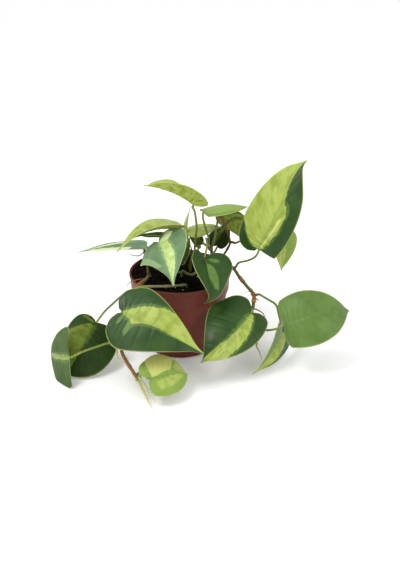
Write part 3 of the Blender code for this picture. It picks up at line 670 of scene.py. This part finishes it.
def blade_point(leaf, length, share, across):
    """A point of the blade in its own frame: share runs round the margin, across is -1 to 1."""
    half, lobe, fullness, lift = leaf.right if across > 0 else leaf.left
    half_width = leaf.width * MM / 2 * half
    out = abs(across)
    foot = read_table(VEIN_FOOT, share, 1)
    edge = read_table(MARGIN, share, 2)
    edge = edge * lobe if edge < 0 else edge + fullness * math.sin(math.pi * min(1.0, edge))
    along = foot + (edge - foot) * out ** VEIN_CURVE
    reach = read_table(MARGIN, share, 1) * half_width * out
    bow = 4 * along * (1 - along) if along > 0 else 4 * along
    slope = 4 * (1 - 2 * max(along, 0.0))
    late = max(along, 0.0)
    sway = leaf.sweep * bow + leaf.hook * HOOK_PEAK * late ** 4 * (1 - late)
    turn = leaf.sweep * slope + leaf.hook * HOOK_PEAK * late ** 3 * (4 - 5 * late)
    midrib = Vector((sway, along, leaf.arch * bow)) * length
    heading = Vector((turn, 1.0, leaf.arch * slope)).normalized()
    lift = math.radians(leaf.fold + lift)
    bend = math.radians(leaf.camber) / half_width
    side = (math.sin(lift) - math.sin(lift - bend * reach)) / bend
    rise = (math.cos(lift - bend * reach) - math.cos(lift)) / bend
    right = heading.cross(Vector((0, 0, 1))).normalized()
    upward = right.cross(heading)
    return midrib + right * math.copysign(side, across) + upward * rise


def vein_closeness(share, out):
    """How close a point is to a side vein, to the midrib and to the margin, each 0 to 1."""
    nearest = min(abs(share - vein) for vein in SIDE_VEINS)
    side = math.exp(-(nearest / SIDE_VEIN_WIDTH) ** 2) * (1 - out) ** 0.35
    rib = math.exp(-(out / MIDRIB_WIDTH) ** 2) * (1 - 0.6 * share)
    margin = max(0.0, (out - MARGIN_START) / (1 - MARGIN_START))
    return side, rib, margin


def depth_inside(bands, share, across):
    """How far inside the nearest of some sectors a point is, from -1 to 1.

    A sector is a list of rows: a share round the margin, and the way across where it starts
    and ends there.
    """
    deepest = -1.0
    for rows in bands:
        first, last = rows[0][0], rows[-1][0]
        held = min(max(share, first), last)
        index = 0
        while index < len(rows) - 2 and rows[index + 1][0] < held:
            index += 1
        lower, upper = rows[index], rows[index + 1]
        t = (held - lower[0]) / (upper[0] - lower[0])
        low = lower[1] + (upper[1] - lower[1]) * t
        high = lower[2] + (upper[2] - lower[2]) * t
        depth = min(across - low, high - across, (share - first) * 4, (last - share) * 4)
        deepest = max(deepest, depth)
    return deepest


def make_blade(name, leaf, seed, materials):
    """A heart-shaped blade: an open grid laid along its veins, puckered, then given thickness."""
    placing, length = blade_frame(leaf)
    shape = bmesh.new()
    bmesh.ops.create_grid(shape, x_segments=BLADE_COLUMNS, y_segments=BLADE_ROWS, size=1.0)
    blade, paint, veins = [
        shape.verts.layers.float_vector.new(layer) for layer in ("blade", "paint", "veins")]
    sectors = PAINT.get(name, {})
    for vertex in shape.verts:
        share = (vertex.co.y + 1) / 2
        across = vertex.co.x
        out = abs(across)
        side, rib, margin = vein_closeness(share, out)
        place = blade_point(leaf, length, share, across)
        ripple = noise.noise(Vector((across * 1.3, share * 4.0, seed * 7.3)))
        # The tissue between the veins stands proud of them, and the margin waves a little
        place.z += PUCKER * ((1 - side) * (1 - out ** 4) * 0.6 - rib)
        place.z += WAVE * leaf.width * MM * ripple * out ** 2
        place = placing @ place
        place.z = max(place.z, GROUND_GAP)
        vertex.co = place
        vertex[blade] = (share, across, seed)
        vertex[paint] = tuple(
            depth_inside(sectors.get(kind, ()), share, across) for kind in PAINT_KINDS)
        vertex[veins] = (side, rib, margin)
    piece = finish_piece(name + "_blade", shape, materials, (name,))
    thickness = piece.modifiers.new("thickness", "SOLIDIFY")
    thickness.thickness = BLADE_THICKNESS
    thickness.offset = 0.0
    thickness.material_offset = 1


def nearest_on_route(route, point):
    """The point of a route nearest to another point, and the route's direction there."""
    best = None
    for first, second in zip(route, route[1:]):
        along = second - first
        share = (point - first).dot(along) / along.length_squared
        near = first + along * min(1.0, max(0.0, share))
        distance = (point - near).length
        if best is None or distance < best[0]:
            best = (distance, near, along.normalized())
    return best[1], best[2]


def leave_vine(route, towards, radius):
    """Where a side piece starts inside a vine, and a second point straight out from there."""
    near, along = nearest_on_route(route, towards)
    outward = towards - near
    outward -= along * outward.dot(along)
    outward.normalize()
    return near + outward * VINE_RADIUS * 0.4, near + outward * (VINE_RADIUS + radius * 2)


def vine_route(name):
    """The vine's centre line: straight up out of the soil, then along the plan's points."""
    plan = [Vector(point) * MM for point in VINES[name]]
    foot = Vector((plan[0].x, plan[0].y, SOIL_TOP - PLANTING_DEPTH))
    mouth = Vector((plan[0].x, plan[0].y, SOIL_TOP + VINE_RADIUS))
    above = smooth_route([mouth, *plan[1:]], VINE_SPACING)
    return [foot, mouth, *(lay_on_pot(point, VINE_RADIUS) for point in above[1:])]


def pot_outer_radius(height):
    """Outer radius of the pot's wall at a height, without its lip."""
    collar_foot = POT_HEIGHT - COLLAR_HEIGHT
    if height >= collar_foot:
        return RIM_RADIUS - LIP_REACH - COLLAR_TAPER * (POT_HEIGHT - height) / COLLAR_HEIGHT
    wall_top = RIM_RADIUS - LIP_REACH - COLLAR_TAPER - COLLAR_STEP
    return FOOT_RADIUS + (wall_top - FOOT_RADIUS) * max(height, 0.0) / collar_foot


def lay_on_pot(point, radius):
    """Lift a tube's centre off soil, rim and ground, and keep it outside the wall."""
    clearance = radius + TOUCH_GAP
    reach = math.hypot(point.x, point.y)
    rim_inside = RIM_RADIUS - LIP_REACH - POT_WALL
    if reach < rim_inside - clearance:
        point.z = max(point.z, SOIL_TOP + clearance)
    elif reach < RIM_RADIUS:
        point.z = max(point.z, POT_HEIGHT + clearance)
    elif point.z < POT_HEIGHT + clearance:
        wanted = max(RIM_RADIUS, pot_outer_radius(point.z)) + clearance
        if reach < wanted:
            point.x *= wanted / reach
            point.y *= wanted / reach
    point.z = max(point.z, clearance)
    return point


def stalk_route(leaf, route):
    """From inside the vine to the blade's underside, arriving square to it."""
    placing = blade_frame(leaf)[0]
    base = placing.translation
    # The midrib starts off four times as steeply as it bows
    slope = Vector((leaf.sweep * 4, 1.0, leaf.arch * 4)).normalized()
    under = (placing.to_3x3() @ slope.cross(Vector((1, 0, 0)))).normalized()
    before_end = base + under * STALK_RADIUS * 2
    passed = [Vector(point) * MM for point in leaf.stalk]
    start, second = leave_vine(route, passed[0], STALK_RADIUS)
    middle = smooth_route([second, *passed, before_end], STALK_SPACING)
    return [start, *middle, base + under * BLADE_THICKNESS * 0.3]


def make_pot(material):
    """A thin-walled turned pot with a collar, a lip and a ring of drain holes in its floor."""
    collar_foot = POT_HEIGHT - COLLAR_HEIGHT
    wall_top = pot_outer_radius(collar_foot) - COLLAR_STEP
    rim_inside = RIM_RADIUS - LIP_REACH - POT_WALL
    profile = (
        (0.0, POT_FLOOR),
        (FOOT_RADIUS - FOOT_CHAMFER - POT_WALL, POT_FLOOR),
        (wall_top - POT_WALL, collar_foot - COLLAR_STEP),
        (pot_outer_radius(collar_foot) - POT_WALL, collar_foot),
        (rim_inside, POT_HEIGHT),
        (RIM_RADIUS, POT_HEIGHT),
        (RIM_RADIUS, POT_HEIGHT - LIP_DEPTH),
        (pot_outer_radius(POT_HEIGHT - LIP_DEPTH), POT_HEIGHT - LIP_DEPTH - LIP_REACH),
        (pot_outer_radius(collar_foot), collar_foot),
        (wall_top, collar_foot - COLLAR_STEP),
        (FOOT_RADIUS, FOOT_CHAMFER),
        (FOOT_RADIUS - FOOT_CHAMFER, 0.0),
        (0.0, 0.0),
    )
    shape = turned(profile, POT_STEPS)
    cutter = bmesh.new()
    for index in range(HOLE_COUNT):
        angle = math.tau * index / HOLE_COUNT
        centre = Vector((math.cos(angle), math.sin(angle), 0.0)) * HOLE_RING_RADIUS
        bmesh.ops.create_cone(
            cutter, cap_ends=True, segments=32, radius1=HOLE_RADIUS, radius2=HOLE_RADIUS,
            depth=POT_FLOOR * 6, matrix=Matrix.Translation(centre))
    pot = finish_piece("nursery_pot", shape, [material], ("pot",))
    cutter_mesh = bpy.data.meshes.new("drain_cutters")
    cutter.to_mesh(cutter_mesh)
    cutter.free()
    cutters = bpy.data.objects.new("drain_cutters", cutter_mesh)
    bpy.context.scene.collection.objects.link(cutters)
    drill = pot.modifiers.new("drain_holes", "BOOLEAN")
    drill.operation = "DIFFERENCE"
    drill.solver = "EXACT"
    drill.object = cutters
    rounding = pot.modifiers.new("rounding", "BEVEL")
    rounding.width = POT_EDGE_ROUNDING
    rounding.segments = 3
    rounding.limit_method = "ANGLE"
    rounding.angle_limit = math.radians(20)
    bpy.context.view_layer.update()
    seen = pot.evaluated_get(bpy.context.evaluated_depsgraph_get())
    baked = bpy.data.meshes.new_from_object(seen)
    pot.modifiers.clear()
    pot.data = baked
    bpy.data.objects.remove(cutters, do_unlink=True)
    baked.shade_smooth()


def turned(profile, steps):
    """A solid of revolution round the upright axis, closed at its poles, faces outwards."""
    shape = bmesh.new()
    corners = [shape.verts.new((radius, 0.0, height)) for radius, height in profile]
    for first, second in zip(corners, corners[1:]):
        shape.edges.new((first, second))
    bmesh.ops.spin(
        shape, geom=shape.verts[:] + shape.edges[:], cent=(0, 0, 0), axis=(0, 0, 1),
        dvec=(0, 0, 0), angle=math.tau, steps=steps, use_merge=True, use_duplicate=False)
    bmesh.ops.remove_doubles(shape, verts=shape.verts, dist=0.000001)
    bmesh.ops.recalc_face_normals(shape, faces=shape.faces)
    return shape


def make_soil(material):
    """The root ball, with a crumbly top between the vines."""
    collar_foot = POT_HEIGHT - COLLAR_HEIGHT
    wall_gap = POT_WALL + TOUCH_GAP
    edge = RIM_RADIUS - LIP_REACH - COLLAR_TAPER - wall_gap
    wall_top = pot_outer_radius(collar_foot) - COLLAR_STEP
    rings = [(edge * step / SOIL_RINGS, SOIL_TOP) for step in range(SOIL_RINGS + 1)]
    profile = rings + [
        (pot_outer_radius(collar_foot) - wall_gap, collar_foot),
        (wall_top - wall_gap, collar_foot - COLLAR_STEP),
        (FOOT_RADIUS - FOOT_CHAMFER - wall_gap, POT_FLOOR + TOUCH_GAP),
        (0.0, POT_FLOOR + TOUCH_GAP),
    ]
    shape = turned(profile, SOIL_STEPS)
    for vertex in shape.verts:
        if vertex.co.z > SOIL_TOP - TOUCH_GAP:
            coarse = noise.noise(vertex.co * 110.0)
            fine = noise.noise(vertex.co * 420.0)
            vertex.co.z += SOIL_RELIEF * (coarse + 0.6 * fine - 0.2)
    finish_piece("peat_root_ball", shape, [material], ("soil",))


def scatter(name, count, sizes, seed, material, spread):
    """Crumbs of a few faces each, lying on the soil inside a radius."""
    draw = random.Random(seed)
    shape = bmesh.new()
    for _ in range(count):
        reach = spread * math.sqrt(draw.random())
        angle = math.tau * draw.random()
        size = draw.uniform(*sizes)
        place = Vector((reach * math.cos(angle), reach * math.sin(angle), SOIL_TOP + size * 0.3))
        turn = Matrix.Rotation(draw.uniform(0, math.tau), 4, Vector((1, draw.random(), 1)))
        flatten = Matrix.Diagonal((1.0, draw.uniform(0.5, 1.0), draw.uniform(0.4, 0.9), 1.0))
        bmesh.ops.create_icosphere(
            shape, subdivisions=1, radius=size,
            matrix=Matrix.Translation(place) @ turn @ flatten)
    for vertex in shape.verts:
        vertex.co += noise.noise_vector(vertex.co * 900.0) * sizes[0] * 0.35
    finish_piece(name, shape, [material])


def vine_radius(distance, share):
    """A vine's radius: a ring stands out at each node, and the ends are rounded."""
    beat = distance / NODE_SPACING
    nearness = abs(beat - round(beat)) * NODE_SPACING
    swelling = 1 + NODE_SWELLING * math.exp(-(nearness / NODE_REACH) ** 2)
    return VINE_RADIUS * swelling * rounded_end(share, 0.985)


def rounded_end(share, start):
    """1 up to start, then falling off like a quarter circle to a blunt end."""
    if share <= start:
        return 1.0
    t = min(1.0, (share - start) / (1 - start))
    return max(BLUNT_END, math.sqrt(1 - t * t))


def stalk_radius(distance, share):
    """A stalk's radius: a clasping foot, a thinner middle, and a swelling under the blade."""
    foot = 0.35 * math.exp(-(distance / 0.006) ** 2)
    top = 0.18 * math.exp(-((1 - share) / 0.06) ** 2)
    return STALK_RADIUS * (0.88 + foot + top)


def rolled_leaf_radius(distance, share):
    """The radius of a leaf still rolled up: a stalk below, a belly above it, a drawn-out point."""
    belly = ramp_up(share, 0.34, 0.55) * (1 - ramp_up(share, 0.6, 1.0)) ** 0.8
    return 0.0009 + 0.0021 * belly - 0.0006 * share


def ramp_up(value, low, high):
    """A value taken smoothly from 0 at low to 1 at high."""
    t = min(1.0, max(0.0, (value - low) / (high - low)))
    return t * t * (3 - 2 * t)


def make_dry_sheath(name, route, first, last, reach, material):
    """A ragged dried sheath that wraps a stretch of a vine and stands off it at its torn ends."""
    nearest = [
        min(range(len(route)), key=lambda index: (route[index] - Vector(end) * MM).length)
        for end in (first, last)]
    stretch = route[min(nearest):max(nearest) + 1]
    shape = make_tube(
        stretch,
        lambda distance, share: VINE_RADIUS * (SHEATH_FIT + reach * abs(2 * share - 1) ** 3),
        14, 0)
    for vertex in shape.verts:
        vertex.co += noise.noise_vector(vertex.co * 700.0) * SHEATH_TEAR
    finish_piece(name, shape, [material])


def make_camera():
    """The main view: from the front, from 26.5 degrees above."""
    lens = bpy.data.cameras.new("camera")
    lens.sensor_width = 36.0
    lens.lens = 39.85
    camera = bpy.data.objects.new("camera", lens)
    camera.location = (0.0238, -0.6786, 0.4143)
    camera.rotation_euler = (math.radians(63.5), 0.0, 0.0)
    bpy.context.scene.collection.objects.link(camera)
    bpy.context.scene.camera = camera


def make_light(name, place, size, power, tint):
    """A square softbox that looks at the plant."""
    data = bpy.data.lights.new(name, "AREA")
    data.size = size
    data.energy = power
    data.color = tint
    light = bpy.data.objects.new(name, data)
    light.location = place
    aim = PLANT_MIDDLE - Vector(place)
    light.rotation_euler = aim.to_track_quat("-Z", "Y").to_euler()
    bpy.context.scene.collection.objects.link(light)


def make_studio():
    """A pale floor, a pale world and two softboxes."""
    scene = bpy.context.scene
    scene.view_settings.view_transform = "Standard"
    scene.world = bpy.data.worlds.new("studio")
    scene.world.use_nodes = True
    glow = scene.world.node_tree.nodes["Background"].inputs
    glow["Color"].default_value = (1.0, 1.0, 1.0, 1.0)
    glow["Strength"].default_value = 1.0
    make_light("key_softbox", (-0.5, -0.4, 1.1), 0.4, 5.5, (1.0, 0.99, 0.97))
    make_light("fill_softbox", (0.9, -0.7, 0.7), 0.8, 2.5, (1.0, 1.0, 1.0))
    shape = bmesh.new()
    bmesh.ops.create_grid(shape, x_segments=1, y_segments=1, size=FLOOR_REACH)
    mesh = bpy.data.meshes.new("floor")
    shape.to_mesh(mesh)
    shape.free()
    floor = bpy.data.objects.new("floor", mesh)
    scene.collection.objects.link(floor)
    mesh.materials.append(start_material(
        "pale_floor", {"Base Color": linear("FFFFFF"), "Roughness": 0.9})[0])


make_camera()
make_studio()

pot_plastic = pot_material()
peat = peat_material()
leaf_faces = {
    "grown": leaf_material(
        "waxy_leaf_face", ("243E16", "304E1C"), ("4E6A2C", "62803C"), ("86973A", "A0B054"),
        "BCC472", 0.36, 0.3),
    "young": leaf_material(
        "silvery_young_leaf_face", ("587450", "76926C"), ("7E9A68", "8EA878"),
        ("A2BA70", "C0D48A"), "CCD8A8", 0.5, 0.15),
    "dusty": leaf_material(
        "dusty_leaf_face", ("44572E", "576C42"), ("5E7444", "6E8450"), ("88965A", "98A868"),
        "B4BE88", 0.55, 0.12),
    "tender": leaf_material(
        "tender_leaf_face", ("5E7C34", "70903E"), ("74903C", "86A04A"), ("92A44E", "A4B45E"),
        "BCBF6C", 0.42, 0.22),
    # Painted shade: a darker copy of the grown face, for leaves that lie in shadow
    "shadowed": leaf_material(
        "painted_shade_leaf_face", ("21350F", "2A4218"), ("3A5018", "485E22"), ("56641E", "6A7A2A"),
        "8E9848", 0.45, 0.18),
}
# Its lime is also painted light on leaf_crown_under, standing in for light shining through it
leaf_back = leaf_material(
    "matt_leaf_underside", ("3C5626", "4A6630"), ("5E7A34", "708C44"), ("8A9A36", "AAB65E"),
    "B5BD76", 0.6, 0.08)
vine_skins = {
    "green": stem_material("vine_epidermis", "54401E", "586028", "6A6430"),
    "brown": stem_material("trailing_vine_epidermis", "5C5A24", "7C5E2C", "8C6434"),
    "pale": stem_material("pale_vine_epidermis", "6E6A38", "84865A", "8E9250"),
    "reddish": stem_material("reddish_vine_epidermis", "4A3018", "5C3420", "8C6A44"),
}
stalk_green = stem_material("stalk_epidermis", "5E5424", "6E7E38", "90A048")
rolled_leaf = stem_material("rolled_leaf_skin", "6E7A34", "A6B060", "C8CC90")

make_pot(pot_plastic)
make_soil(peat)
scatter("peat_crumbs", 900, (0.0005, 0.0013), 11, peat, 0.0545)
scatter("perlite_grains", 5, (0.0009, 0.0014), 4, perlite_material(), 0.05)

routes = {name: vine_route(name) for name in VINES}
for seed, (name, route) in enumerate(routes.items()):
    shape = make_tube(
        route, lambda distance, share, slim=VINE_SLIMNESS.get(name, 1.0):
        vine_radius(distance, share) * slim, 16, seed)
    finish_piece(
        name.replace("vine", "stem"), shape,
        [vine_skins[VINE_SKINS.get(name, "green")]], (name,))
for seed, (name, leaf) in enumerate(LEAVES.items()):
    make_blade(name, leaf, seed, [leaf_faces[LEAF_SKINS.get(name, "grown")], leaf_back])
    stalk = make_tube(stalk_route(leaf, routes[leaf.vine]), stalk_radius, 12, seed)
    finish_piece(
        name.replace("leaf", "petiole"), stalk, [stalk_green],
        (name.replace("leaf", "stalk"),))

new_tip = dry_material("pale_new_sheath", "8C9A4A", "CFC98C", "B9A860", 0.5)
dry_sheath = dry_material("dried_sheath", "84502A", "A4703E", "54301A", 0.7)
for seed, (name, (vine, points, width)) in enumerate(SHOOTS.items()):
    passed = [Vector(point) * MM for point in points]
    start, second = leave_vine(routes[vine], passed[0], STALK_RADIUS)
    route = [start, *smooth_route([second, *passed], STALK_SPACING)]
    if name == "shoot_rolled_leaf":
        shape, skin = make_tube(route, rolled_leaf_radius, 20, seed), rolled_leaf
    else:
        # Sheaths and shoots are flattened, and the root is round
        squash, skin = (1.0, dry_sheath) if name.startswith("root") else (0.55, new_tip)
        shape = make_tube(
            route, lambda distance, share, half=width * MM / 2: half * (1 - 0.85 * share ** 2),
            12, seed, squash)
    finish_piece(name + "_grown", shape, [skin], (name,))
for name, (vine, first, last, reach) in DRY_SHEATHS.items():
    make_dry_sheath(name, routes[vine], first, last, reach, dry_sheath)
for seed, (name, (points, width)) in enumerate(FINE_ROOTS.items()):
    route = smooth_route([Vector(point) * MM for point in points], STALK_SPACING / 2)
    shape = make_tube(
        route, lambda distance, share, half=width * MM / 2: half * (1 - 0.7 * share ** 2), 8, seed)
    finish_piece(name, shape, [dry_sheath])
